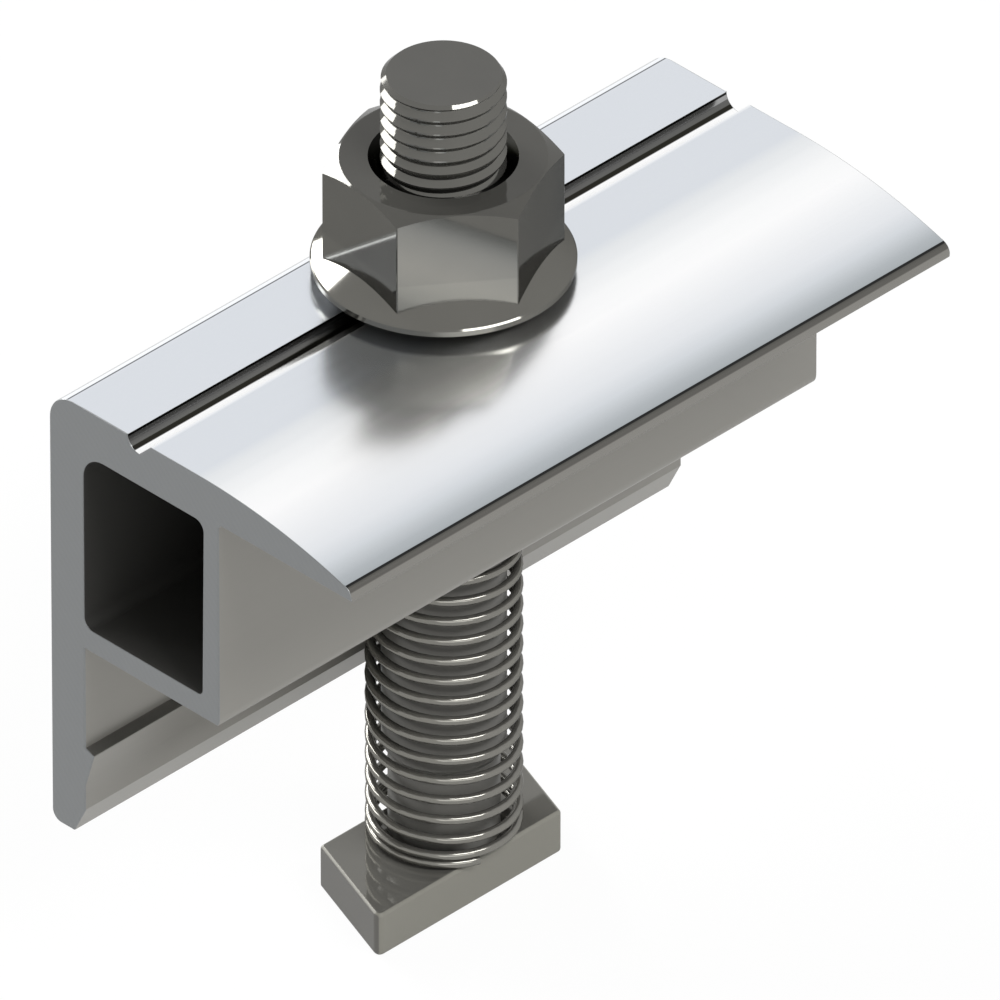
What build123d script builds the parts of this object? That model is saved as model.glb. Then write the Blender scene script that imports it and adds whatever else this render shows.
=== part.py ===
from build123d import *
import math
import os

os.makedirs("parts", exist_ok=True)

# Millimetres. The origin is on the bolt's axis, in the plane of the rail's top face that the foot
# stands on. +X points from the clamp's back towards the module, +Y runs along the extrusion and
# +Z is up.

# Clamp profile
clamp_length = 52.0
frame_height = 29.4
leg_wall = 2.92
box_height = 18.0
roof_wall = 3.36
floor_wall = 1.6
front_wall_top = 1.33
front_wall_bottom = 1.5
hole_margin = 0.63
roof_flat = 4.73
lip_thickness = 2.85
lip_reach = 11.45
nose_thickness = 0.74
groove_depth = 1.0
groove_offset = 0.27
sole_width = 1.9
toe_height = 2.05
ledge_reach = 0.78
ledge_height = 6.45
ledge_rise = 0.25
ledge_slant = 2.6

# Roundings of the profile
back_corner_radius = 2.0
nose_radius = 0.75
lip_root_radius = 0.3
box_corner_radius = 0.7
sole_radius = 0.75
ledge_edge_radius = 0.15
chamber_radii = (0.75, 0.4, 0.75, 1.75)

# T-bolt
thread_diameter = 7.8
thread_end_chamfer = 0.375
thread_standout = 6.13
shank_step = 0.4
shank_length = 6.2
runout_length = 0.6
head_drop = 9.69
head_height = 3.2
head_width = 8.0
head_side = 16.1
head_skew = 2.9
head_offset = 0.3
head_acute_radius = 0.45
head_obtuse_radius = 0.3
head_edge_radius = 0.28

# Spring
wire_diameter = 0.6
coil_pitch = 1.505
closed_turns = 1.0
closing_turns = 0.77
wire_end_angle = -17.0
points_per_turn = 12

# Flange nut
nut_across_flats = 13.0
nut_height = 8.58
nut_corner_angle = -7.3
nut_chamfer_angle = 30.0
nut_top_inset = 0.1
countersink_reach = 0.7
countersink_angle = 30.0
flange_diameter = 16.44
flange_rim_low = 0.71
flange_rim_height = 0.42
flange_rim_bevel = 1.02
flange_slope_angle = 32.0

# Clearances
thread_clearance = 0.05
hole_clearance = 0.6
coil_clearance = 0.425
leg_clearance = 0.225
ledge_clearance = 0.3
wire_gap = 0.02

# Sizes and places that several pieces share
thread_radius = thread_diameter / 2
hole_radius = thread_radius + hole_clearance
spring_radius = thread_radius + coil_clearance + wire_diameter
leg_x = -(spring_radius + leg_clearance)
back_x = leg_x - leg_wall
box_x = hole_radius + hole_margin + front_wall_bottom
roof_z = frame_height + lip_thickness
box_z = roof_z - box_height
head_z = -head_drop


def corner(face, x, y):
    """The corner of a flat face nearest to a point."""
    return face.vertices().sort_by_distance((x, y, 0))[0]


def turned(*points):
    """A solid of revolution about Z from the corners of its half section, given as radius and height."""
    return revolve(Plane.XZ * make_face(Polyline(*points, close=True)), axis=Axis.Z)


def section_outline():
    """The clamp's outer outline, drawn flat with its height along Y."""
    nose_x = box_x + lip_reach
    nose_z = frame_height + nose_thickness
    sides = Polyline(
        (roof_flat, roof_z),
        (back_x, roof_z),
        (back_x, 0),
        (back_x + sole_width, 0),
        (leg_x, toe_height),
        (leg_x, box_z),
        (box_x, box_z),
        (box_x, frame_height),
        (nose_x, frame_height),
        (nose_x, nose_z),
    )
    slope = TangentArc((roof_flat, roof_z), (nose_x, nose_z), tangent=(1, 0))
    outline = make_face(sides + slope)
    rounded = (
        (back_x, roof_z, back_corner_radius),
        (back_x, 0, sole_radius),
        (box_x, box_z, box_corner_radius),
        (box_x, frame_height, lip_root_radius),
        (nose_x, nose_z, min(nose_radius, nose_thickness)),
    )
    for x, y, radius in rounded:
        outline = fillet(corner(outline, x, y), radius)
    return outline


def section_chamber():
    """The closed chamber of the box section. Its front wall grows thicker towards the floor."""
    low = box_z + floor_wall
    high = roof_z - roof_wall
    return make_face(
        FilletPolyline(
            (leg_x, low),
            (box_x - front_wall_bottom, low),
            (box_x - front_wall_top, high),
            (leg_x, high),
            radius=chamber_radii,
            close=True,
        )
    )


def section_groove():
    """The drilling groove in the roof: a rounded side, a floor line and a side at 45 degrees."""
    floor = (-groove_offset, roof_z - groove_depth)
    near_edge = (-groove_offset - groove_depth, roof_z)
    far_edge = (-groove_offset + groove_depth, roof_z)
    rounded_side = TangentArc(near_edge, floor, tangent=(0, -1))
    return make_face(rounded_side + Polyline(floor, far_edge, near_edge))


def section_ledge():
    """The ledge along the leg's inner side, let into the leg by half the leg's thickness."""
    rooted_x = leg_x - leg_wall / 2
    tip = (leg_x + ledge_reach, ledge_height)
    low = (leg_x, ledge_height - ledge_slant)
    high = (leg_x, ledge_height + ledge_rise)
    section = make_face(Polyline((rooted_x, low[1]), low, tip, high, (rooted_x, high[1]), close=True))
    return fillet(corner(section, *tip), ledge_edge_radius)


def make_clamp_profile():
    section = section_outline() - section_chamber() - section_groove()
    profile = extrude(Plane.XZ * section, amount=clamp_length / 2, both=True)
    upright = (Align.CENTER, Align.CENTER, Align.MIN)
    profile -= Pos(0, 0, box_z / 2) * Cylinder(hole_radius, roof_z, align=upright)
    ledge = extrude(Plane.XZ * section_ledge(), amount=clamp_length / 2, both=True)
    ledge -= Cylinder(spring_radius + ledge_clearance, box_z, align=upright)
    return profile + ledge


def make_t_bolt():
    half_width = head_width / 2
    half_side = head_side / 2
    half_skew = head_skew / 2
    outline = make_face(
        FilletPolyline(
            (-half_width, half_skew - half_side),
            (half_width, -half_skew - half_side),
            (half_width, half_side - half_skew),
            (-half_width, half_side + half_skew),
            radius=(head_obtuse_radius, head_acute_radius) * 2,
            close=True,
        )
    )
    head = extrude(Pos(0, -head_offset, head_z - head_height) * outline, amount=head_height)
    levels = head.faces().sort_by(Axis.Z)
    head = fillet(levels[0].edges() + levels[-1].edges(), head_edge_radius)

    shank_radius = thread_radius - shank_step
    end_radius = thread_radius - thread_end_chamfer
    head_middle = head_z - head_height / 2
    thread_z = head_z + shank_length
    end_z = roof_z + nut_height + thread_standout
    shank = turned(
        (0, head_middle),
        (shank_radius, head_middle),
        (shank_radius, thread_z),
        (thread_radius, thread_z + runout_length),
        (thread_radius, end_z - thread_end_chamfer),
        (end_radius, end_z),
        (0, end_z),
    )
    return head + shank


def rise(turn):
    """Height gained from a closed end: flat turns, then a smooth change to the full pitch."""
    closed_pitch = wire_diameter + wire_gap
    opened = min(max(turn - closed_turns, 0), closing_turns)
    full = max(turn - closed_turns - closing_turns, 0)
    return closed_pitch * turn + (coil_pitch - closed_pitch) * (opened**2 / (2 * closing_turns) + full)


def make_spring():
    """Left-handed compression spring with closed ends, from the T-head to the box's underside."""
    coil_radius = spring_radius - wire_diameter / 2
    low = head_z + wire_diameter / 2 + wire_gap
    high = box_z - wire_diameter / 2 - wire_gap
    closed_loss = (coil_pitch - wire_diameter - wire_gap) * (closed_turns + closing_turns / 2)
    turns = (high - low + 2 * closed_loss) / coil_pitch
    steps = math.ceil(turns * points_per_turn)
    points = []
    for step in range(steps + 1):
        turn = turns * step / steps
        angle = math.radians(wire_end_angle - 360 * turn)
        height = low + rise(turn) if turn < turns / 2 else high - rise(turns - turn)
        points.append((coil_radius * math.cos(angle), coil_radius * math.sin(angle), height))
    path = Spline(*points)
    wire_section = Plane(origin=path @ 0, z_dir=path % 0) * Circle(wire_diameter / 2)
    return sweep(wire_section, path=path, is_frenet=True)


def make_flange_nut():
    bore_radius = thread_radius + thread_clearance
    flange_radius = flange_diameter / 2
    rim_top = flange_rim_low + flange_rim_height
    cone_radius = (bore_radius + flange_radius) / 2
    cone_top = rim_top + (flange_radius - cone_radius) * math.tan(math.radians(flange_slope_angle))
    flange = turned(
        (0, 0),
        (flange_radius - flange_rim_bevel, 0),
        (flange_radius, flange_rim_low),
        (flange_radius, rim_top),
        (cone_radius, cone_top),
        (0, cone_top),
    )

    top_radius = nut_across_flats / 2 - nut_top_inset
    chamfer_drop = (nut_across_flats - top_radius) * math.tan(math.radians(nut_chamfer_angle))
    chamfered = turned(
        (0, 0),
        (nut_across_flats, 0),
        (nut_across_flats, nut_height - chamfer_drop),
        (top_radius, nut_height),
        (0, nut_height),
    )
    hexagon = RegularPolygon(nut_across_flats / 2, 6, major_radius=False, rotation=nut_corner_angle)
    prism = extrude(Pos(0, 0, flange_rim_low) * hexagon, amount=nut_height)

    countersink_radius = bore_radius + countersink_reach
    countersink_depth = countersink_reach * math.tan(math.radians(countersink_angle))
    bore = turned(
        (0, 0),
        (countersink_radius, 0),
        (bore_radius, countersink_depth),
        (bore_radius, nut_height - countersink_depth),
        (countersink_radius, nut_height),
        (0, nut_height),
    )
    return Pos(0, 0, roof_z) * ((prism & chamfered) + flange - bore)


export_step(make_clamp_profile(), "parts/clamp_profile.step")
export_step(make_t_bolt(), "parts/t_bolt.step")
export_step(make_spring(), "parts/spring.step")
export_step(make_flange_nut(), "parts/flange_nut.step")
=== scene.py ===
import math

import bmesh
import bpy
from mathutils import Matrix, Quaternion, Vector


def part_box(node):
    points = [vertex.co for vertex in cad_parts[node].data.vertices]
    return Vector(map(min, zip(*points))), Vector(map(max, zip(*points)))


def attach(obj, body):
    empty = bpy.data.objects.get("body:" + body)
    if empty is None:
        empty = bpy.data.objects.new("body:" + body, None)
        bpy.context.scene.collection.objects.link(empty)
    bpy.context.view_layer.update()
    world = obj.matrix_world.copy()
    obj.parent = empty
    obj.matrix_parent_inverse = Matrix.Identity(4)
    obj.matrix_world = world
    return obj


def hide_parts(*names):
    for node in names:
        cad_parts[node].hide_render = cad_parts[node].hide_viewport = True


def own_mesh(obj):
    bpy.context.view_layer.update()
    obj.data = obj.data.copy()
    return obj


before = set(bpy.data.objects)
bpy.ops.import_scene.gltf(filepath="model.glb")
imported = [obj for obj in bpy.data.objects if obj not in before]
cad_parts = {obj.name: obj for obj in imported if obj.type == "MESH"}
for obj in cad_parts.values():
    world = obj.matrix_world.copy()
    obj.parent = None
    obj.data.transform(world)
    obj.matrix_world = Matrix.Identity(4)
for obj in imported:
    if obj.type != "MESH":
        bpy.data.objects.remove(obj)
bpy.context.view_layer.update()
mm = 0.001
slack = 0.004 * mm  # how far off a point may lie and still be the one meant
weld = 1e-7  # metres within which points are merged into one
parallel = 0.99  # least cosine between two directions that count as one
squareAngle = 60  # degrees between two faces, above which their edge still wants rounding
print("frame loaded")


# working in edit mode, with sizes and moves in millimetres

def workOn(piece):
    # leaves only this piece selected and active
    bpy.ops.object.select_all(action="DESELECT")
    piece.select_set(True)
    bpy.context.view_layer.objects.active = piece


def edit(piece):
    workOn(piece)
    bpy.ops.object.mode_set(mode="EDIT")
    bpy.ops.mesh.select_all(action="DESELECT")


def leave():
    bpy.ops.object.mode_set(mode="OBJECT")


def pickAll():
    bpy.ops.mesh.select_all(action="SELECT")


def pick(kind, test):
    # selects the vertices, edges or faces of the edited mesh that pass a test
    bpy.ops.mesh.select_mode(type=kind)
    bpy.ops.mesh.select_all(action="DESELECT")
    mesh = bpy.context.edit_object.data
    cage = bmesh.from_edit_mesh(mesh)
    parts = {"VERT": cage.verts, "EDGE": cage.edges, "FACE": cage.faces}[kind]
    for part in parts:
        if test(part):
            part.select_set(True)
    cage.select_flush_mode()
    bmesh.update_edit_mesh(mesh)


def near(value, wanted):
    return abs(value - wanted) < slack


def middleOf(edge):
    return (edge.verts[0].co + edge.verts[1].co) / 2


def directionOf(edge):
    return (edge.verts[0].co - edge.verts[1].co).normalized()


def runsAlongY(edge):
    return abs(directionOf(edge).y) > parallel


def isUpright(edge):
    return abs(directionOf(edge).z) > parallel


def isSquare(edge):
    return edge.calc_face_angle(0) > math.radians(squareAngle)


def looks(face, direction):
    return face.normal.dot(Vector(direction)) > parallel


def metres(values):
    return tuple(value * mm for value in values)


def shift(move):
    bpy.ops.transform.translate(value=metres(move))


def extrude(move):
    bpy.ops.mesh.extrude_region_move(TRANSFORM_OT_translate={"value": metres(move)})


def bisect(point, normal, clearOuter=False):
    pickAll()
    bpy.ops.mesh.bisect(
        plane_co=metres(point), plane_no=normal, use_fill=clearOuter, clear_outer=clearOuter,
        threshold=weld
    )


def bevel(rounding):
    # a rounding is a width and a number of steps
    width, steps = rounding
    bpy.ops.mesh.bevel(
        offset_type="OFFSET", offset=width * mm, segments=steps, profile=0.5, affect="EDGES",
        clamp_overlap=False
    )


def roundLongEdge(x, z, rounding):
    # rounds one edge that runs along Y through the point (x, z)
    def isThere(edge):
        middle = middleOf(edge)
        return runsAlongY(edge) and near(middle.x, x * mm) and near(middle.z, z * mm)
    pick("EDGE", isThere)
    bevel(rounding)


def mergeClose():
    pickAll()
    bpy.ops.mesh.remove_doubles(threshold=weld)


def turnOutwards():
    pickAll()
    bpy.ops.mesh.normals_make_consistent(inside=False)


# starting and finishing a piece

def named(name):
    # the primitive just added, with its place and size put into its mesh
    made = bpy.context.active_object
    made.name = name
    bpy.ops.object.transform_apply(location=True, rotation=True, scale=True)
    return made


def block(name, low, high):
    # a cube primitive stretched between two corners
    low = Vector(low) * mm
    high = Vector(high) * mm
    bpy.ops.object.select_all(action="DESELECT")
    bpy.ops.mesh.primitive_cube_add(size=1, location=(low + high) / 2, scale=high - low)
    return named(name)


def turned(name, rings, sides):
    # a cone primitive between the first two rings, then its top drawn up ring by ring
    # each ring is a radius and a height
    (radius, low), (nextRadius, high) = rings[:2]
    bpy.ops.object.select_all(action="DESELECT")
    bpy.ops.mesh.primitive_cone_add(
        vertices=sides, radius1=radius * mm, radius2=nextRadius * mm, depth=(high - low) * mm,
        location=(0, 0, (low + high) / 2 * mm)
    )
    made = named(name)
    edit(made)
    for ring, below in zip(rings[2:], rings[1:]):
        topHeight = below[1] * mm
        pick("FACE", lambda face: all(near(vert.co.z, topHeight) for vert in face.verts))
        extrude((0, 0, ring[1] - below[1]))
        grow = ring[0] / below[0]
        bpy.ops.transform.resize(value=(grow, grow, 1), center_override=(0, 0, 0))
    leave()
    return made


def apply(piece, kind, **settings):
    workOn(piece)
    modifier = piece.modifiers.new(kind.title(), kind)
    for key, value in settings.items():
        setattr(modifier, key, value)
    bpy.ops.object.modifier_apply(modifier=modifier.name)


def combine(piece, tool, operation):
    # joins, cuts or keeps what two closed shapes share, and removes the tool
    apply(piece, "BOOLEAN", object=tool, operation=operation, solver="EXACT")
    bpy.data.objects.remove(tool)


def settle(piece, angle):
    # origin at the world's, smooth shading below the angle, flat faces kept flat
    workOn(piece)
    bpy.ops.object.transform_apply(location=True, rotation=True, scale=True)
    bpy.ops.object.shade_smooth_by_angle(angle=math.radians(angle))
    apply(piece, "WEIGHTED_NORMAL", keep_sharp=True, weight=100)
    print(piece.name, "made,", len(piece.data.polygons), "faces")


# clamp, in millimetres
clamp = {
    "boxBottom": 14.25,
    "boxX": 6.63,
    "boxRounding": (0.7, 8),
    "legX": -5.15,
    "backRounding": (2.0, 14),
    "lipUnderside": 29.4,
    "lipThickness": 2.85,
    "lipRootRounding": (0.3, 5),
    "slopeStartX": 4.73,
    "slopeSteps": 24,
    "noseThickness": 0.74,
    "noseRounding": (0.53, 8),
    "soleWidth": 1.9,
    "soleRounding": (0.75, 8),
    "toeHeight": 2.05,
    "toeWedge": 4.0,  # reach and depth of the wedge that cuts the toe
    "ledgeTip": 6.45,
    "ledgeRise": 0.25,
    "ledgeSlant": 2.6,
    "ledgeReach": 0.78,
    "ledgeRounding": (0.09, 3),
    "chamberLow": 15.85,
    "chamberHigh": 28.89,
    "chamberWall": (1.5, 1.33),  # at the floor and at the roof
    "chamberCorners": (0.75, 0.4, 0.75, 1.75),
    "chamberSteps": 8,
    "grooveMiddle": -0.27,
    "grooveDepth": 1.0,
    "grooveRounding": (0.995, 12),  # just under the depth
    "boltHole": 4.5,
    "reliefRadius": 5.14,
    "reliefSpan": (3, 8),
    "holeSides": 96,
    "deburr": (0.09, 2),
    "flatWithin": 0.3,  # degrees
    "smoothBelow": 24,  # degrees
    "cutPast": 1.0,  # how far a cutting shape reaches past what it cuts
}


def makeClamp():
    low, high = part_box("clamp_profile")
    back, nose, end, top = low.x / mm, high.x / mm, high.y / mm, high.z / mm
    foot, lip, past = 0.0, clamp["lipUnderside"], clamp["cutPast"]
    boxX, legX, boxBottom = clamp["boxX"], clamp["legX"], clamp["boxBottom"]
    body = block("clampBody", (back, -end, boxBottom), (boxX, end, top))
    edit(body)

    # the leg is drawn down from the box, the lip out of its front
    bisect((legX, 0, 0), (1, 0, 0))
    pick("FACE", lambda face: looks(face, (0, 0, -1)) and face.calc_center_median().x < legX * mm)
    extrude((0, 0, foot - boxBottom))
    bisect((0, 0, lip), (0, 0, 1))
    pick("FACE", lambda face: looks(face, (1, 0, 0)) and face.calc_center_median().z > lip * mm)
    extrude((nose - boxX + past, 0, 0))

    # the slope falls as one arc, level at its start and down to the nose's upper edge
    slopeStart, steps = clamp["slopeStartX"], clamp["slopeSteps"]
    reach = nose - slopeStart
    drop = top - lip - clamp["noseThickness"]
    arcRadius = (reach**2 + drop**2) / (2 * drop)
    strips = [slopeStart + reach * step / steps for step in range(1, steps + 1)]
    bisect((slopeStart, 0, 0), (1, 0, 0))
    for x in strips:
        bisect((x, 0, 0), (1, 0, 0), clearOuter=x == strips[-1])
    for x in strips + [boxX]:
        fall = arcRadius - math.sqrt(arcRadius**2 - (x - slopeStart) ** 2)
        pick("VERT", lambda vert: near(vert.co.x, x * mm) and near(vert.co.z, top * mm))
        shift((0, 0, -fall))
    roundLongEdge(nose, lip + clamp["noseThickness"], clamp["noseRounding"])
    leave()

    # a wedge cuts the toe of the foot
    wedge, soleEnd = clamp["toeWedge"], back + clamp["soleWidth"]
    toe = block("toeCut", (soleEnd, -end - past, -wedge), (legX + wedge, end + past, 0))
    edit(toe)
    pick("VERT", lambda vert: vert.co.x > soleEnd * mm and near(vert.co.z, 0))
    shift((0, 0, (legX + wedge - soleEnd) / (legX - soleEnd) * clamp["toeHeight"]))
    leave()
    combine(body, toe, "DIFFERENCE")

    # ledge on the leg's inner side
    edit(body)
    tip, ledgeReach = clamp["ledgeTip"], clamp["ledgeReach"]
    for height in (tip - clamp["ledgeSlant"], tip, tip + clamp["ledgeRise"]):
        bisect((0, 0, height), (0, 0, 1))
    pick("VERT", lambda vert: near(vert.co.z, tip * mm) and near(vert.co.x, legX * mm))
    shift((ledgeReach, 0, 0))
    roundLongEdge(legX + ledgeReach, tip, clamp["ledgeRounding"])

    # outer roundings
    roundLongEdge(back, top, clamp["backRounding"])
    roundLongEdge(back, foot, clamp["soleRounding"])
    roundLongEdge(boxX, boxBottom, clamp["boxRounding"])
    roundLongEdge(boxX, lip, clamp["lipRootRounding"])
    mergeClose()
    bpy.ops.mesh.dissolve_limited(angle_limit=math.radians(clamp["flatWithin"]))
    leave()

    # chamber, its front wall a little thicker at the floor
    floorZ, roofZ = clamp["chamberLow"], clamp["chamberHigh"]
    wallLow, wallHigh = clamp["chamberWall"]
    chamber = block("chamberCut", (legX, -end - past, floorZ), (boxX - wallLow, end + past, roofZ))
    edit(chamber)
    pick("VERT", lambda vert: vert.co.x > 0 and near(vert.co.z, roofZ * mm))
    shift((wallLow - wallHigh, 0, 0))
    corners = ((legX, floorZ), (boxX - wallLow, floorZ), (boxX - wallHigh, roofZ), (legX, roofZ))
    for (x, z), radius in zip(corners, clamp["chamberCorners"]):
        roundLongEdge(x, z, (radius, clamp["chamberSteps"]))
    leave()
    combine(body, chamber, "DIFFERENCE")

    # drilling groove: a quarter round, then a side at 45 degrees
    middle, depth = clamp["grooveMiddle"], clamp["grooveDepth"]
    above = past / 2
    groove = block(
        "grooveCut", (middle - depth, -end - past, top - depth), (middle, end + past, top + above)
    )
    edit(groove)
    pick("VERT", lambda vert: vert.co.z > top * mm and near(vert.co.x, middle * mm))
    shift((depth + above, 0, 0))
    roundLongEdge(middle - depth, top - depth, clamp["grooveRounding"])
    leave()
    combine(body, groove, "DIFFERENCE")

    # bolt holes, and the ledge's relief round the spring
    hole, relief, sides = clamp["boltHole"], clamp["reliefRadius"], clamp["holeSides"]
    reliefLow, reliefHigh = clamp["reliefSpan"]
    holeCut = turned("boltHoleCut", [(hole, reliefHigh), (hole, top + 2 * past)], sides)
    combine(body, holeCut, "DIFFERENCE")
    reliefCut = turned("reliefCut", [(relief, reliefLow), (relief, reliefHigh)], sides)
    combine(body, reliefCut, "DIFFERENCE")

    # the sawn ends are lightly deburred
    edit(body)

    def isRim(edge):
        # where an end meets a face along the extrusion
        atEnd = all(near(abs(vert.co.y), end * mm) for vert in edge.verts)
        endFaces = [face for face in edge.link_faces if abs(face.normal.y) > parallel]
        return atEnd and len(edge.link_faces) == 2 and len(endFaces) == 1
    pick("EDGE", isRim)
    bevel(clamp["deburr"])
    leave()
    settle(body, clamp["smoothBelow"])
    return body


# bolt, in millimetres
bolt = {
    "headSide": 16.1,
    "headHeight": 3.2,
    "headSkew": 2.9,
    "headShift": -0.3,
    "acuteRounding": (0.641, 6),
    "obtuseRounding": (0.21, 6),
    "edgeRounding": (0.28, 5),
    "shankRadius": 3.5,
    "shankTop": -3.49,
    "shankRooting": 1.0,  # where the shank starts, above the head's underside
    "shoulder": 0.6,
    "threadRadius": 3.9,
    "threadStart": 15.1,
    "threadDepth": 0.3,
    "threadSpare": (1.0, 0.5),  # cut off again below and above
    "reliefRadius": 3.4,
    "overlap": 0.2,
    "pitch": 1.0,
    "crest": 0.1,
    "root": 0.1,
    "endChamfer": 0.375,
    "stepsPerTurn": 60,
    "sides": 120,
    "smoothBelow": 22,  # degrees
}


def makeThread(low, high):
    # one pitch of the profile is drawn by extruding a vertex, then screwed round the axis
    pitch, depth, outer = bolt["pitch"], bolt["threadDepth"], bolt["threadRadius"]
    flank = (pitch - bolt["crest"] - bolt["root"]) / 2
    bpy.ops.object.select_all(action="DESELECT")
    bpy.ops.mesh.primitive_plane_add(size=1 * mm, location=(outer * mm, 0, (low - pitch) * mm))
    thread = named("thread")
    edit(thread)
    bpy.ops.mesh.select_mode(type="VERT")
    pickAll()
    bpy.ops.mesh.merge(type="CENTER")
    for across, up in ((0, bolt["crest"]), (-depth, flank), (0, bolt["root"]), (depth, flank)):
        extrude((across, 0, up))
    leave()
    steps, turns = bolt["stepsPerTurn"], math.ceil((high - low) / pitch) + 3
    apply(
        thread, "SCREW", axis="Z", screw_offset=pitch * mm, iterations=turns, angle=math.tau,
        steps=steps, render_steps=steps, use_merge_vertices=True, merge_threshold=weld,
        use_normal_calculate=True
    )
    edit(thread)
    mergeClose()
    bisect((0, 0, low), (0, 0, -1), clearOuter=True)
    bisect((0, 0, high), (0, 0, 1), clearOuter=True)
    turnOutwards()
    leave()
    return thread


def makeBolt():
    low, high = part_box("t_bolt")
    bottom, top = low.z / mm, high.z / mm
    halfWidth, halfSide = high.x / mm, bolt["headSide"] / 2
    shiftY, skew = bolt["headShift"], bolt["headSkew"] / 2
    piece = block(
        "tBolt", (-halfWidth, shiftY - halfSide, bottom),
        (halfWidth, shiftY + halfSide, bottom + bolt["headHeight"])
    )
    edit(piece)
    for side in (-1, 1):
        pick("VERT", lambda vert: vert.co.x * side > 0)
        shift((0, -side * skew, 0))

    # the head's acute corners first, then the obtuse ones that are still sharp
    def atAcuteCorner(edge):
        middle = middleOf(edge)
        return isUpright(edge) and middle.x * middle.y < 0
    pick("EDGE", atAcuteCorner)
    bevel(bolt["acuteRounding"])
    pick("EDGE", lambda edge: isUpright(edge) and isSquare(edge))
    bevel(bolt["obtuseRounding"])

    def isLevelRim(edge):
        return near(edge.verts[0].co.z, edge.verts[1].co.z) and isSquare(edge)
    pick("EDGE", isLevelRim)
    bevel(bolt["edgeRounding"])
    leave()

    # thread and shank meet in a groove with sides at 45 degrees, where the thread starts
    start, outer, relief = bolt["threadStart"], bolt["threadRadius"], bolt["reliefRadius"]
    shankRadius, shankTop, chamfer = bolt["shankRadius"], bolt["shankTop"], bolt["endChamfer"]
    overlap, groove, sides = bolt["overlap"], outer - relief, bolt["sides"]
    spareLow, spareHigh = bolt["threadSpare"]
    thread = makeThread(start - spareLow, top + spareHigh)
    envelope = turned("threadEnvelope", [
        (relief - overlap, start - 2 * overlap), (relief - overlap, start - overlap),
        (outer, start + groove), (outer, top - chamfer), (outer - chamfer, top)
    ], sides)
    combine(thread, envelope, "INTERSECT")
    shank = turned("shank", [
        (shankRadius, bottom + bolt["shankRooting"]), (shankRadius, shankTop),
        (outer, shankTop + bolt["shoulder"]), (outer, start - groove),
        (relief - overlap, start + overlap)
    ], sides)
    combine(thread, shank, "UNION")
    combine(piece, thread, "UNION")
    settle(piece, bolt["smoothBelow"])
    return piece


# spring, in millimetres
spring = {
    "wire": 0.6,
    "coilRadius": 4.625,
    "pitch": 1.505,
    "closedTurns": 1.0,
    "closingTurns": 0.77,
    "gap": 0.02,
    "endAngle": -17.0,  # degrees
    "endRounding": (0.05, 2),
    "stepsPerTurn": 40,
    "wireSides": 18,
    "smoothBelow": 40,  # degrees
}


def springRise(turn):
    # height gained from a closed end: flat turns, then a smooth change to the full pitch
    closedPitch = spring["wire"] + spring["gap"]
    opened = min(max(turn - spring["closedTurns"], 0), spring["closingTurns"])
    full = max(turn - spring["closedTurns"] - spring["closingTurns"], 0)
    gain = opened**2 / (2 * spring["closingTurns"]) + full
    return closedPitch * turn + (spring["pitch"] - closedPitch) * gain


def makeSpring():
    nodeLow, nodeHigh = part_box("spring")
    wire, pitch, gap = spring["wire"], spring["pitch"], spring["gap"]
    low = nodeLow.z / mm + wire / 2
    high = nodeHigh.z / mm - wire / 2
    closedLoss = (pitch - wire - gap) * (spring["closedTurns"] + spring["closingTurns"] / 2)
    turns = (high - low + 2 * closedLoss) / pitch
    steps = round(turns * spring["stepsPerTurn"])
    stepAngle = math.tau * turns / steps
    start, across = math.radians(spring["endAngle"]), spring["coilRadius"]

    # the wire's section is drawn up and round, step by step
    bpy.ops.object.select_all(action="DESELECT")
    bpy.ops.mesh.primitive_circle_add(
        vertices=spring["wireSides"], radius=wire / 2 * mm, fill_type="NGON",
        location=(across * math.cos(start) * mm, across * math.sin(start) * mm, low * mm),
        rotation=(math.pi / 2, 0, start)
    )
    piece = named("compressionSpring")
    edit(piece)
    pickAll()
    before = low
    for step in range(1, steps + 1):
        turn = turns * step / steps
        height = low + springRise(turn) if turn < turns / 2 else high - springRise(turns - turn)
        extrude((0, 0, height - before))
        bpy.ops.transform.rotate(value=stepAngle, orient_axis="Z", center_override=(0, 0, 0))
        before = height
    turnOutwards()

    # the two cut ends are eased
    pick("EDGE", isSquare)
    bevel(spring["endRounding"])
    leave()
    settle(piece, spring["smoothBelow"])
    return piece


# nut, in millimetres and degrees
nut = {
    "acrossFlats": 13.0,
    "cornerAngle": -7.3,
    "cornerRounding": (0.06, 2),
    "topInset": 0.1,
    "topEase": 0.05,
    "chamferAngle": 30.0,
    "chamferDepth": 2.0,  # how far the chamfering cone reaches below the nut
    "bore": 3.95,
    "countersinkReach": 0.7,
    "countersinkAngle": 30.0,
    "rimLow": 0.71,
    "rimHeight": 0.42,
    "rimBevel": 1.02,
    "rimEase": 0.04,
    "rimBreak": (0.1, 0.034),  # in and down
    "slopeAngle": 32.0,
    "flangeSides": 180,
    "boreSides": 120,
    "smoothBelow": 9,
    "cutPast": 1.0,
}


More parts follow.
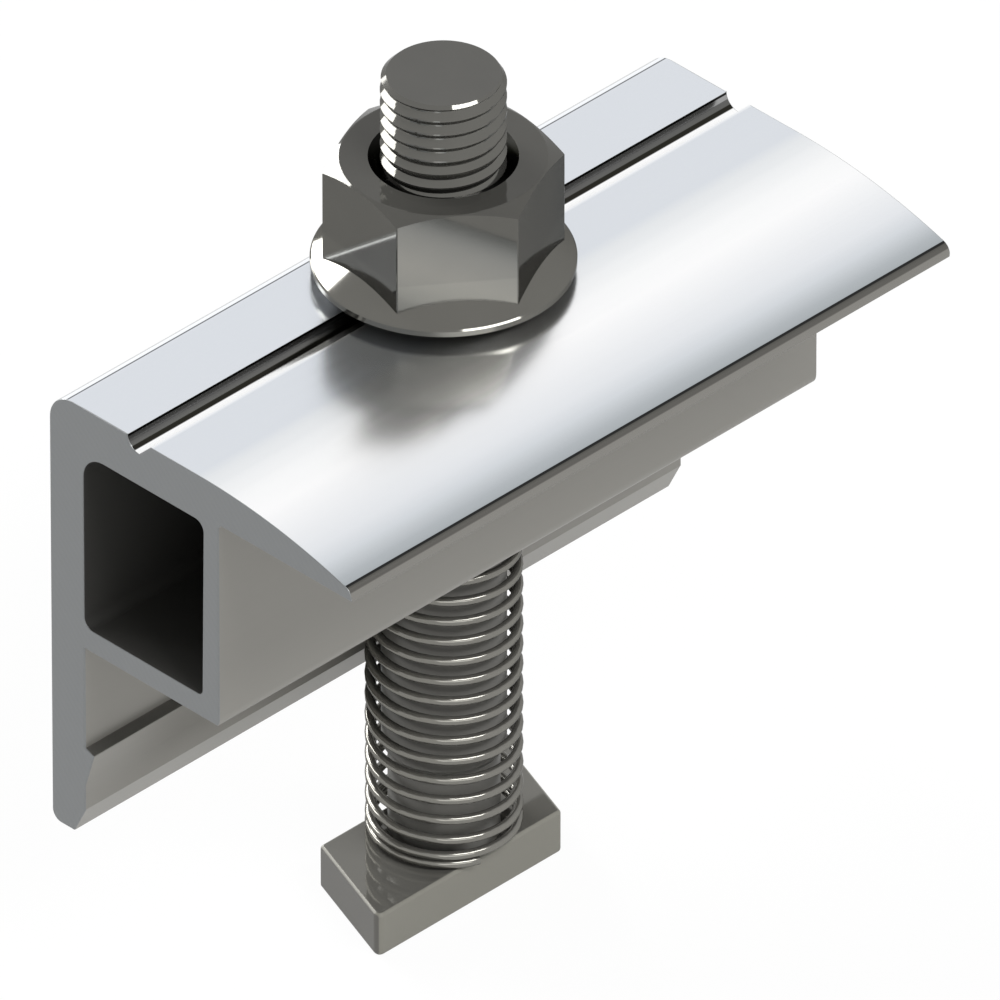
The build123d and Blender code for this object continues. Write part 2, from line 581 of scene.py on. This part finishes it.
def makeNut():
    low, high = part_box("flange_nut")
    base, top, flangeRadius = low.z / mm, high.z / mm, high.x / mm
    halfFlats, sides = nut["acrossFlats"] / 2, nut["flangeSides"]
    rimLow, rimTop = nut["rimLow"], nut["rimLow"] + nut["rimHeight"]
    bpy.ops.object.select_all(action="DESELECT")
    # the primitive's first corner is on +Y, the nut's on its corner angle
    bpy.ops.mesh.primitive_cylinder_add(
        vertices=6, radius=halfFlats / math.cos(math.pi / 6) * mm,
        depth=(top - base - rimLow) * mm, location=(0, 0, (top + base + rimLow) / 2 * mm),
        rotation=(0, 0, math.radians(nut["cornerAngle"] + 30))
    )
    piece = named("flangeNut")
    edit(piece)
    pick("EDGE", isUpright)
    bevel(nut["cornerRounding"])
    leave()

    # the chamfer: only what lies inside a wide cone is kept
    topRadius, ease = halfFlats - nut["topInset"], nut["topEase"]
    fall = top - base + nut["chamferDepth"]
    spread = fall / math.tan(math.radians(nut["chamferAngle"]))
    cone = turned("chamferCone", [
        (topRadius + spread, top - fall), (topRadius + ease / 2, top - ease / 3),
        (topRadius - ease, top)
    ], sides)
    combine(piece, cone, "INTERSECT")

    # the flange, with a narrow break at the top of its rim
    slope = math.tan(math.radians(nut["slopeAngle"]))
    coneRadius = (nut["bore"] + flangeRadius) / 2
    coneTop = rimTop + (flangeRadius - coneRadius) * slope
    easing, rimBevel = nut["rimEase"], nut["rimBevel"]
    breakIn, breakDown = nut["rimBreak"]
    flange = turned("flange", [
        (flangeRadius - rimBevel, base),
        (flangeRadius - easing, base + rimLow - easing * rimLow / rimBevel),
        (flangeRadius, base + rimLow + easing),
        (flangeRadius, base + rimTop - breakDown),
        (flangeRadius - breakIn, base + rimTop + breakIn * slope),
        (coneRadius, base + coneTop)
    ], sides)
    combine(piece, flange, "UNION")

    # the bore, countersunk at both ends
    bore, reach, past = nut["bore"], nut["countersinkReach"], nut["cutPast"]
    depth = reach * math.tan(math.radians(nut["countersinkAngle"]))
    cut = turned("boreCut", [
        (bore + reach + past, base - past / reach * depth), (bore, base + depth),
        (bore, top - depth), (bore + reach + past, top + past / reach * depth)
    ], nut["boreSides"])
    combine(piece, cut, "DIFFERENCE")
    settle(piece, nut["smoothBelow"])
    return piece


clampPiece = makeClamp()
boltPiece = makeBolt()
springPiece = makeSpring()
nutPiece = makeNut()
print("pieces made")


# shader maths as plain expressions

class Wire:
    # one output of a node; + - * with numbers or other outputs add Math nodes
    def __init__(self, finish, socket):
        self.finish = finish
        self.socket = socket

    def __add__(self, other):
        return self.finish.maths("ADD", self, other)

    def __radd__(self, other):
        return self.finish.maths("ADD", other, self)

    def __sub__(self, other):
        return self.finish.maths("SUBTRACT", self, other)

    def __rsub__(self, other):
        return self.finish.maths("SUBTRACT", other, self)

    def __mul__(self, other):
        return self.finish.maths("MULTIPLY", self, other)

    def __rmul__(self, other):
        return self.finish.maths("MULTIPLY", other, self)

    def __abs__(self):
        return self.finish.maths("ABSOLUTE", self, 0)


class Finish:
    # the nodes of a material, or of the world, and the calls that add them
    def __init__(self, owner):
        self.owner = owner
        owner.use_nodes = True
        self.tree = owner.node_tree
        self.tree.nodes.clear()

    def node(self, kind, settings, values, output=0):
        made = self.tree.nodes.new(kind)
        for key, value in settings.items():
            if key == "stops":
                ramp = made.color_ramp
                while len(ramp.elements) < len(value):
                    ramp.elements.new(0.5)
                for element, (place, shade) in zip(ramp.elements, value):
                    element.position = place
                    element.color = shade
            else:
                setattr(made, key, value)
        for key, value in values.items():
            if isinstance(value, Wire):
                self.tree.links.new(value.socket, made.inputs[key])
            else:
                made.inputs[key].default_value = value
        return Wire(self, made.outputs[output])

    def maths(self, operation, first, second):
        return self.node("ShaderNodeMath", {"operation": operation}, {0: first, 1: second})

    def scaled(self, vector, scale):
        return self.node("ShaderNodeMapping", {}, {"Vector": vector, "Scale": scale})

    def part(self, vector, axis):
        return self.node("ShaderNodeSeparateXYZ", {}, {"Vector": vector}, axis)

    def noise(self, vector, scale, detail, roughness=0.5):
        return self.node("ShaderNodeTexNoise", {}, {
            "Vector": vector, "Scale": scale, "Detail": detail, "Roughness": roughness
        })

    def between(self, value, low, high):
        # 0 below low, 1 above high, smooth in between
        return self.node("ShaderNodeMapRange", {"interpolation_type": "SMOOTHSTEP"}, {
            "Value": value, "From Min": low, "From Max": high
        })

    def within(self, value, low, high, soft=0.1):
        # 1 from low to high, 0 outside
        return self.between(value, low - soft, low) * (1 - self.between(value, high, high + soft))

    def higher(self, first, second):
        return self.maths("MAXIMUM", first, second)

    def fade(self, share, first, second):
        # from one number to another
        return first + share * (second - first)

    def blend(self, share, first, second):
        # from one colour to another
        return self.node("ShaderNodeMix", {"data_type": "RGBA"}, {0: share, 6: first, 7: second}, 2)

    def ramp(self, value, stops):
        return self.node("ShaderNodeValToRGB", {"stops": stops}, {"Fac": value})

    def bumped(self, height, bump, normal=None):
        # a bump is a depth and a strength
        values = {"Height": height, "Distance": bump[0], "Strength": bump[1]}
        if normal:
            values["Normal"] = normal
        return self.node("ShaderNodeBump", {}, values)

    def seen(self):
        # 1 for rays from the camera, off metal and through glass, 0 for light on the part
        camera, glossy, through = (
            self.node("ShaderNodeLightPath", {}, {}, name)
            for name in ("Is Camera Ray", "Is Glossy Ray", "Is Transmission Ray")
        )
        return self.higher(self.higher(camera, glossy), through)

    def mixed(self, share, first, second):
        return self.node("ShaderNodeMixShader", {}, {0: share, 1: first, 2: second})

    def close(self, shader, kind="ShaderNodeOutputMaterial"):
        output = self.tree.nodes.new(kind)
        self.tree.links.new(shader.socket, output.inputs["Surface"])
        return self.owner


def wear(piece, material):
    piece.data.materials.clear()
    piece.data.materials.append(material)


aluminium = {
    # painted light and shade: the flat top gets a lit colour, the walls and the sawn ends shaded
    # ones; the sawn ends are rougher as well
    "litFlatColor": (0.70, 0.73, 0.775, 1),
    "shadedWallColor": (0.240, 0.233, 0.212, 1),
    "sawnShadedColor": (0.211, 0.219, 0.222, 1),
    # painted shade for the chamber and the ledge's top
    "shelterShadeColor": (0.074, 0.073, 0.068, 1),
    # painted highlight along the groove's edge
    "grooveEdgeHighlightColor": (0.9, 0.915, 0.93, 1),
    "streakColor": (0.02, 0.02, 0.02, 1),
    "streaks": (0.018, 0.012),  # shares of the lines and of the fine lines
    "shelfShadeShare": 0.6,
    # painted reflection and shade over the lip, by how far the surface leans forward: crown, bright
    # fall, dark break, dark nose
    "lipReflectionBands": [
        (0.0, (0.70, 0.73, 0.775, 1)), (0.018, (0.78, 0.80, 0.82, 1)),
        (0.085, (0.945, 0.95, 0.955, 1)), (0.125, (0.975, 0.975, 0.98, 1)),
        (0.223, (0.78, 0.80, 0.83, 1)), (0.25, (0.66, 0.69, 0.725, 1)),
        (0.29, (0.40, 0.43, 0.45, 1)), (0.32, (0.02, 0.02, 0.02, 1)),
        (0.48, (0.025, 0.025, 0.025, 1)), (0.52, (0.09, 0.088, 0.08, 1)),
        (0.84, (0.12, 0.116, 0.107, 1)), (0.89, (0.25, 0.243, 0.225, 1)),
    ],
    # painted reflection over the back corner, by how far it leans back: flat, dark line, bright
    # corner, outline
    "backReflectionBands": [
        (0.20, (0.70, 0.73, 0.775, 1)), (0.22, (0.12, 0.125, 0.135, 1)),
        (0.27, (0.12, 0.125, 0.135, 1)), (0.29, (0.92, 0.945, 0.98, 1)),
        (0.48, (0.92, 0.945, 0.98, 1)), (0.52, (0.45, 0.46, 0.47, 1)),
    ],
    # painted shade and highlight down the groove's rounded side, by how far it looks up
    "grooveShadeBands": [
        (0.17, (0.01, 0.01, 0.01, 1)), (0.2, (0.35, 0.35, 0.35, 1)),
        (0.46, (0.33, 0.33, 0.33, 1)), (0.49, (0.12, 0.12, 0.118, 1)),
        (0.74, (0.11, 0.11, 0.105, 1)), (0.77, (0.022, 0.021, 0.017, 1)),
        (0.91, (0.022, 0.021, 0.017, 1)), (0.935, (0.97, 0.97, 0.97, 1)),
    ],
    "wallMetal": 0.35,
    "wallRoughness": 0.36,
    "flatRoughness": 0.2,
    "sawnRoughness": 0.44,
    # how much rougher each pattern makes the surface, and what evens that out
    "lineRoughness": 0.05,
    "cloudRoughness": 0.06,
    "arcRoughness": 0.05,
    "evenedOut": 0.05,
    # a noise is a scale, its detail and its roughness; a stretch is along the extrusion
    "lineNoise": (2.4, 5.0, 0.6),
    "fineLineNoise": (9.0, 3.0, 0.6),
    "fineLineHeight": 0.6,
    "lineStretch": 0.01,
    "lineBump": (0.002 * mm, 0.6),
    "cloudNoise": (0.12, 2.0),
    "cloudStretch": 0.3,
    "arcCentre": (90, 0, 60),
    "arcs": {"Scale": 0.75, "Distortion": 1.2, "Detail": 3.0, "Detail Scale": 0.6},
    "arcBump": (0.004 * mm, 0.5),
}

# where the clamp's finishes lie, in millimetres or by how far the surface looks one way
areas = {
    "endFacing": (0.1, 0.25),
    "roofFacing": (0.35, 0.85),
    "roofFade": 1.0,
    "lipFacing": (-0.3, -0.1),
    "lipFarX": 20,
    "backX": (-9, -5.5),
    "backAboveLip": 0.5,
    "above": 1.0,
    "grooveSoft": 0.03,
    "grooveBelow": 0.1,
    "grooveShort": 0.03,
    "grooveSoftTop": 0.02,
    "chamberWall": 1.3,
    "highlightWidth": 0.3,
    "highlightSoft": 0.1,
}


def aluminiumFinish():
    finish = Finish(bpy.data.materials.new("millAluminium"))
    place = finish.node("ShaderNodeTexCoord", {}, {}, "Object")
    facing = finish.node("ShaderNodeTexCoord", {}, {}, "Normal")
    forward, sideways, up = (finish.part(facing, axis) for axis in range(3))
    inMm = finish.scaled(place, (1 / mm, 1 / mm, 1 / mm))
    x, z = finish.part(inMm, 0), finish.part(inMm, 2)

    # where the sawn ends, the polished top and the groove are; the top is painted lit, the walls
    # and ends painted shaded
    lipZ, middle, depth = clamp["lipUnderside"], clamp["grooveMiddle"], clamp["grooveDepth"]
    top = lipZ + clamp["lipThickness"]
    grooveEdge, above = middle + depth, top + areas["above"]
    endOn = finish.between(abs(sideways), *areas["endFacing"])
    along = 1 - endOn
    upward = finish.between(up, *areas["roofFacing"]) * along
    roof = upward * finish.between(z, lipZ - areas["roofFade"], lipZ)
    lip = finish.within(x, grooveEdge, areas["lipFarX"]) * finish.within(z, lipZ, above)
    lip = lip * finish.between(up, *areas["lipFacing"]) * along
    backEdge = finish.within(x, *areas["backX"]) * along
    backEdge = backEdge * finish.within(z, lipZ + areas["backAboveLip"], above)
    groove = finish.within(x, middle - depth, grooveEdge, areas["grooveSoft"]) * along
    groove = groove * finish.within(
        z, top - depth - areas["grooveBelow"], top - areas["grooveShort"], areas["grooveSoftTop"]
    )
    # painted highlight: a near-white strip on the flat top along the groove's far edge
    grooveEdgeHighlight = roof * finish.between(x, middle, middle + areas["highlightSoft"])
    grooveEdgeHighlight = grooveEdgeHighlight * (1 - finish.between(x, grooveEdge, grooveEdge + areas["highlightWidth"]))

    # painted shade: the chamber and the ledge's top are darkened, as they get little light
    chamber = finish.within(x, clamp["legX"], clamp["boxX"] - areas["chamberWall"])
    chamber = chamber * finish.within(z, clamp["chamberLow"], clamp["chamberHigh"]) * along
    shelterShade = finish.higher(chamber, (upward - roof) * aluminium["shelfShadeShare"])

    # lines that the die leaves along the extrusion
    stretched = finish.scaled(place, (1 / mm, aluminium["lineStretch"] / mm, 1 / mm))
    lines = finish.noise(stretched, *aluminium["lineNoise"])
    fineLines = finish.noise(stretched, *aluminium["fineLineNoise"])
    softly = finish.scaled(place, (1 / mm, aluminium["cloudStretch"] / mm, 1 / mm))
    cloud = finish.noise(softly, *aluminium["cloudNoise"])

    # arcs that the saw leaves on the ends
    centred = finish.node("ShaderNodeMapping", {}, {
        "Vector": place, "Location": aluminium["arcCentre"], "Scale": (1 / mm, 0, 1 / mm)
    })
    arcs = finish.node(
        "ShaderNodeTexWave", {"wave_type": "RINGS", "rings_direction": "Y"},
        {"Vector": centred, **aluminium["arcs"]}, "Fac"
    )

    lineShare, fineLineShare = aluminium["streaks"]
    streaks = lines * lineShare + fineLines * fineLineShare
    # painted light and shade: the roof gets the lit colour, the rest the shaded wall colour
    color = finish.blend(roof, aluminium["shadedWallColor"], aluminium["litFlatColor"])
    # painted reflection bands over the lip
    color = finish.blend(lip, color, finish.ramp(forward, aluminium["lipReflectionBands"]))
    # painted dark line and bright band on the back corner
    color = finish.blend(backEdge, color, finish.ramp(0 - forward, aluminium["backReflectionBands"]))
    color = finish.blend(grooveEdgeHighlight, color, aluminium["grooveEdgeHighlightColor"])
    color = finish.blend(streaks, color, aluminium["streakColor"])
    # painted shade and highlight in the groove
    color = finish.blend(groove, color, finish.ramp(up, aluminium["grooveShadeBands"]))
    color = finish.blend(shelterShade, color, aluminium["shelterShadeColor"])
    color = finish.blend(endOn, color, aluminium["sawnShadedColor"])

    polished = finish.higher(finish.higher(roof, lip), finish.higher(backEdge, groove))
    metal = finish.fade(polished, aluminium["wallMetal"], 1)
    satin = finish.fade(polished, aluminium["wallRoughness"], aluminium["flatRoughness"])
    satin = satin + lines * aluminium["lineRoughness"] + cloud * aluminium["cloudRoughness"]
    rougher = aluminium["sawnRoughness"] - aluminium["wallRoughness"]
    sawn = endOn * (rougher + arcs * aluminium["arcRoughness"])
    roughness = satin - aluminium["evenedOut"] + sawn
    scored = (lines + fineLines * aluminium["fineLineHeight"]) * along
    normal = finish.bumped(scored, aluminium["lineBump"])
    normal = finish.bumped(arcs * endOn, aluminium["arcBump"], normal)
    shader = finish.node("ShaderNodeBsdfPrincipled", {}, {
        "Base Color": color, "Metallic": metal, "Roughness": roughness, "Normal": normal
    })
    return finish.close(shader)


steel = {
    "refraction": 1.5,
    "edgeTint": (0.35, 0.35, 0.35, 1),
    "upFacing": (0.45, 1.0),
    "dust": (0.3, 0.29, 0.265, 1),
    "dustShares": (0.07, 0.03),  # of the cloud and of the grain
    "cloudNoise": (0.35, 3.0),
    "cloudRoughness": 0.04,
    "grainNoise": (6.0, 4.0, 0.6),
    "grainRoughness": 0.03,
    "grainBump": (0.0006 * mm, 0.3),
    "evenedOut": 0.035,
    "turningNoise": (7.0, 2.0),
    "turningBump": (0.001 * mm, 0.5),
    "boreShadeColor": (0.012, 0.012, 0.011, 1),
    "boreRougher": 0.3,
    "soft": 0.02,  # width of the changes between zones, in millimetres
}
# side and top are each a colour, how metallic it is and how rough; a top colour darker than its
# side is painted shade
# a zone runs from a low to a high z in millimetres; within its bore a piece is painted nearly
# black, as shade
nutSteel = {
    "bore": 4.66,
    "side": ((0.112, 0.110, 0.100, 1), 0.8, 0.06),
    "top": ((0.068, 0.067, 0.061, 1), 0.3, 0.06),
    "zones": [
        # the flange, and its bevel above the roof, which is painted dark as the shade under the
        # flange's rim
        {"low": 32.2, "high": 35.8, "side": ((0.125, 0.123, 0.111, 1), 0.8, 0.08),
         "top": ((0.130, 0.127, 0.115, 1), 0.8, 0.08)},
        {"low": 32.2, "high": 32.95, "side": ((0.022, 0.021, 0.018, 1), 0.3, 0.4),
         "top": ((0.022, 0.021, 0.018, 1), 0.3, 0.4)},
    ],
}
springSteel = {
    "side": ((0.200, 0.195, 0.176, 1), 0.75, 0.12),
    "top": ((0.160, 0.156, 0.143, 1), 0.6, 0.12),
    "zones": [],
}
boltSteel = {
    "side": ((0.125, 0.123, 0.112, 1), 0.75, 0.08),
    "top": ((0.095, 0.094, 0.088, 1), 0.45, 0.06),
    "zones": [
        # the forged head, its top painted in shade darker than its sides
        {"low": -14, "high": -9.6, "side": ((0.217, 0.212, 0.184, 1), 0.35, 0.3),
         "top": ((0.145, 0.142, 0.130, 1), 0.45, 0.05), "forged": True},
        # the plain shank
        {"low": -9.6, "high": 14.4, "side": ((0.155, 0.152, 0.140, 1), 0.3, 0.34),
         "top": ((0.155, 0.152, 0.140, 1), 0.3, 0.34)},
    ],
}
# a forged zone is darker at its ends, which is painted shade, and duller and rougher over its edges
forged = {
    "endShadeColor": (0.118, 0.115, 0.106, 1),
    "endFacing": (0.7, 0.85),
    "edgeMetal": 0.05,
    "edgeRoughness": 0.45,
    "edgeFacing": (0.08, 0.2),
    "upFacing": (0.85, 1.0),
}


def steelFinish(name, look):
    # blackened and oiled, with painted shade and other values where it looks up
    finish = Finish(bpy.data.materials.new(name))
    place = finish.node("ShaderNodeTexCoord", {}, {}, "Object")
    facing = finish.node("ShaderNodeTexCoord", {}, {}, "Normal")
    sideways, rise = finish.part(facing, 1), finish.part(facing, 2)
    up = finish.between(rise, *steel["upFacing"])
    inMm = finish.scaled(place, (1 / mm, 1 / mm, 1 / mm))
    z = finish.part(inMm, 2)
    cloud = finish.noise(inMm, *steel["cloudNoise"])
    grain = finish.noise(inMm, *steel["grainNoise"])

    def shaded(values):
        # the side's colour, metal and roughness turn into the top's; a darker top colour is painted
        # shade
        color, metal, roughness = values["side"]
        shadedTopColor, topMetal, topRoughness = values["top"]
        lift = up
        if "forged" in values:
            endOn = finish.between(abs(sideways), *forged["endFacing"])
            edge = finish.between(rise, *forged["edgeFacing"])
            color = finish.blend(endOn, color, forged["endShadeColor"])
            metal = finish.fade(edge, metal, forged["edgeMetal"])
            roughness = finish.fade(edge, roughness, forged["edgeRoughness"])
            lift = finish.between(rise, *forged["upFacing"])
        return (
            finish.blend(lift, color, shadedTopColor), finish.fade(lift, metal, topMetal),
            finish.fade(lift, roughness, topRoughness)
        )
    color, metal, roughness = shaded(look)
    for zone in look["zones"]:
        share = finish.within(z, zone["low"], zone["high"], steel["soft"])
        zoneColor, zoneMetal, zoneRoughness = shaded(zone)
        color = finish.blend(share, color, zoneColor)
        metal = finish.fade(share, metal, zoneMetal)
        roughness = finish.fade(share, roughness, zoneRoughness)
    cloudShare, grainShare = steel["dustShares"]
    color = finish.blend(cloud * cloudShare + grain * grainShare, color, steel["dust"])
    roughness = roughness + cloud * steel["cloudRoughness"] + grain * steel["grainRoughness"]
    roughness = roughness - steel["evenedOut"]

    # distance from the axis
    flat = finish.scaled(place, (1 / mm, 1 / mm, 0))
    outward = finish.node("ShaderNodeVectorMath", {"operation": "LENGTH"}, {0: flat}, "Value")
    # painted shade: inside the bore and its countersinks the colour goes nearly black
    if "bore" in look:
        inner = 1 - finish.between(outward, look["bore"] - steel["soft"], look["bore"])
        color = finish.blend(inner, color, steel["boreShadeColor"])
        metal = finish.higher(metal, inner)
        roughness = roughness + inner * steel["boreRougher"]

    # rings that turning leaves on ends, chamfers and cones
    spokes = finish.node("ShaderNodeCombineXYZ", {}, {"X": outward})
    rings = finish.noise(spokes, *steel["turningNoise"])
    normal = finish.bumped(rings * up, steel["turningBump"])
    normal = finish.bumped(grain, steel["grainBump"], normal)
    shader = finish.node("ShaderNodeBsdfPrincipled", {}, {
        "Base Color": color, "Metallic": metal, "IOR": steel["refraction"],
        "Specular Tint": steel["edgeTint"], "Roughness": roughness, "Normal": normal
    })
    return finish.close(shader)


wear(clampPiece, aluminiumFinish())
wear(boltPiece, steelFinish("boltSteel", boltSteel))
wear(nutPiece, steelFinish("nutSteel", nutSteel))
wear(springPiece, steelFinish("springSteel", springSteel))
print("finishes made")

for piece, node, body in (
    (clampPiece, "clamp_profile", "clamp"),
    (boltPiece, "t_bolt", "bolt"),
    (springPiece, "spring", "spring"),
    (nutPiece, "flange_nut", "nut"),
):
    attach(piece, body)
    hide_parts(node)
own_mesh(springPiece)
print("pieces ride on their bodies")


# studio, in metres and degrees
studio = {
    "floorZ": -12.9 * mm,
    "floorSize": 2.0,
    "floorColor": (0.9, 0.9, 0.9, 1),
    "floorWhite": 0.95,
    "white": (1, 1, 1, 1),
    "worldLight": 0.25,
    "lens": 1500,
    "sensorWidth": 36,
    "frameWidth": 61.36 * mm,
    "target": (8.206 * mm, -3.309 * mm, 20.735 * mm),
    "view": (1, -1, 1),  # from the target to the camera
    "clip": (0.1, 20),
    "lampDistance": 0.6,
}
# each lamp's direction from the part, its width and height, its radiance and its roll
lamps = {
    "stripBox": ((-0.949, -0.240, 0.203), 0.47, 0.122, 11.0, 28),
    "leftBox": ((-0.912, 0.096, 0.398), 0.42, 0.11, 20.0, 50),
    "topBox": ((0.618, 0.060, 0.783), 0.39, 0.13, 15.0, -22),
    "frontBox": ((0.839, -0.409, 0.358), 0.53, 0.28, 1.85, 0),
}


def paleFloor():
    # lights the part as a pale floor does, and looks white itself but for the part's shadow
    finish = Finish(bpy.data.materials.new("paleFloor"))
    lit = finish.node("ShaderNodeBsdfDiffuse", {}, {"Color": studio["floorColor"]})
    glow = finish.node("ShaderNodeEmission", {}, {"Color": studio["white"], "Strength": 1})
    return finish.close(finish.mixed(finish.seen() * studio["floorWhite"], lit, glow))


def paintWorld():
    finish = Finish(bpy.data.worlds.new("studioWorld"))
    soft, white = (
        finish.node("ShaderNodeBackground", {}, {"Color": studio["white"], "Strength": strength})
        for strength in (studio["worldLight"], 1)
    )
    world = finish.close(finish.mixed(finish.seen(), soft, white), "ShaderNodeOutputWorld")
    bpy.context.scene.world = world


def hangLamp(name, direction, width, height, radiance, roll):
    light = bpy.data.lights.new(name, "AREA")
    light.shape = "RECTANGLE"
    light.size, light.size_y = width, height
    light.energy = radiance * math.pi * width * height
    lamp = bpy.data.objects.new(name, light)
    bpy.context.scene.collection.objects.link(lamp)
    away = Vector(direction).normalized()
    lamp.location = target + away * studio["lampDistance"]
    turn = Quaternion((0, 0, 1), math.radians(roll))
    lamp.rotation_euler = (away.to_track_quat("Z", "Y") @ turn).to_euler()


def placeCamera():
    camera = bpy.data.cameras.new("camera")
    camera.lens, camera.sensor_width = studio["lens"], studio["sensorWidth"]
    camera.clip_start, camera.clip_end = studio["clip"]
    view = bpy.data.objects.new("camera", camera)
    bpy.context.scene.collection.objects.link(view)
    back = Vector(studio["view"]).normalized()
    distance = studio["frameWidth"] * studio["lens"] / studio["sensorWidth"]
    view.location = target + back * distance
    view.rotation_euler = back.to_track_quat("Z", "Y").to_euler()
    bpy.context.scene.camera = view


target = Vector(studio["target"])
bpy.ops.object.select_all(action="DESELECT")
bpy.ops.mesh.primitive_plane_add(size=studio["floorSize"], location=(0, 0, studio["floorZ"]))
floor = named("floor")
wear(floor, paleFloor())
paintWorld()
for name, values in lamps.items():
    hangLamp(name, *values)
placeCamera()
bpy.context.scene.view_settings.view_transform = "Standard"
print("studio made")
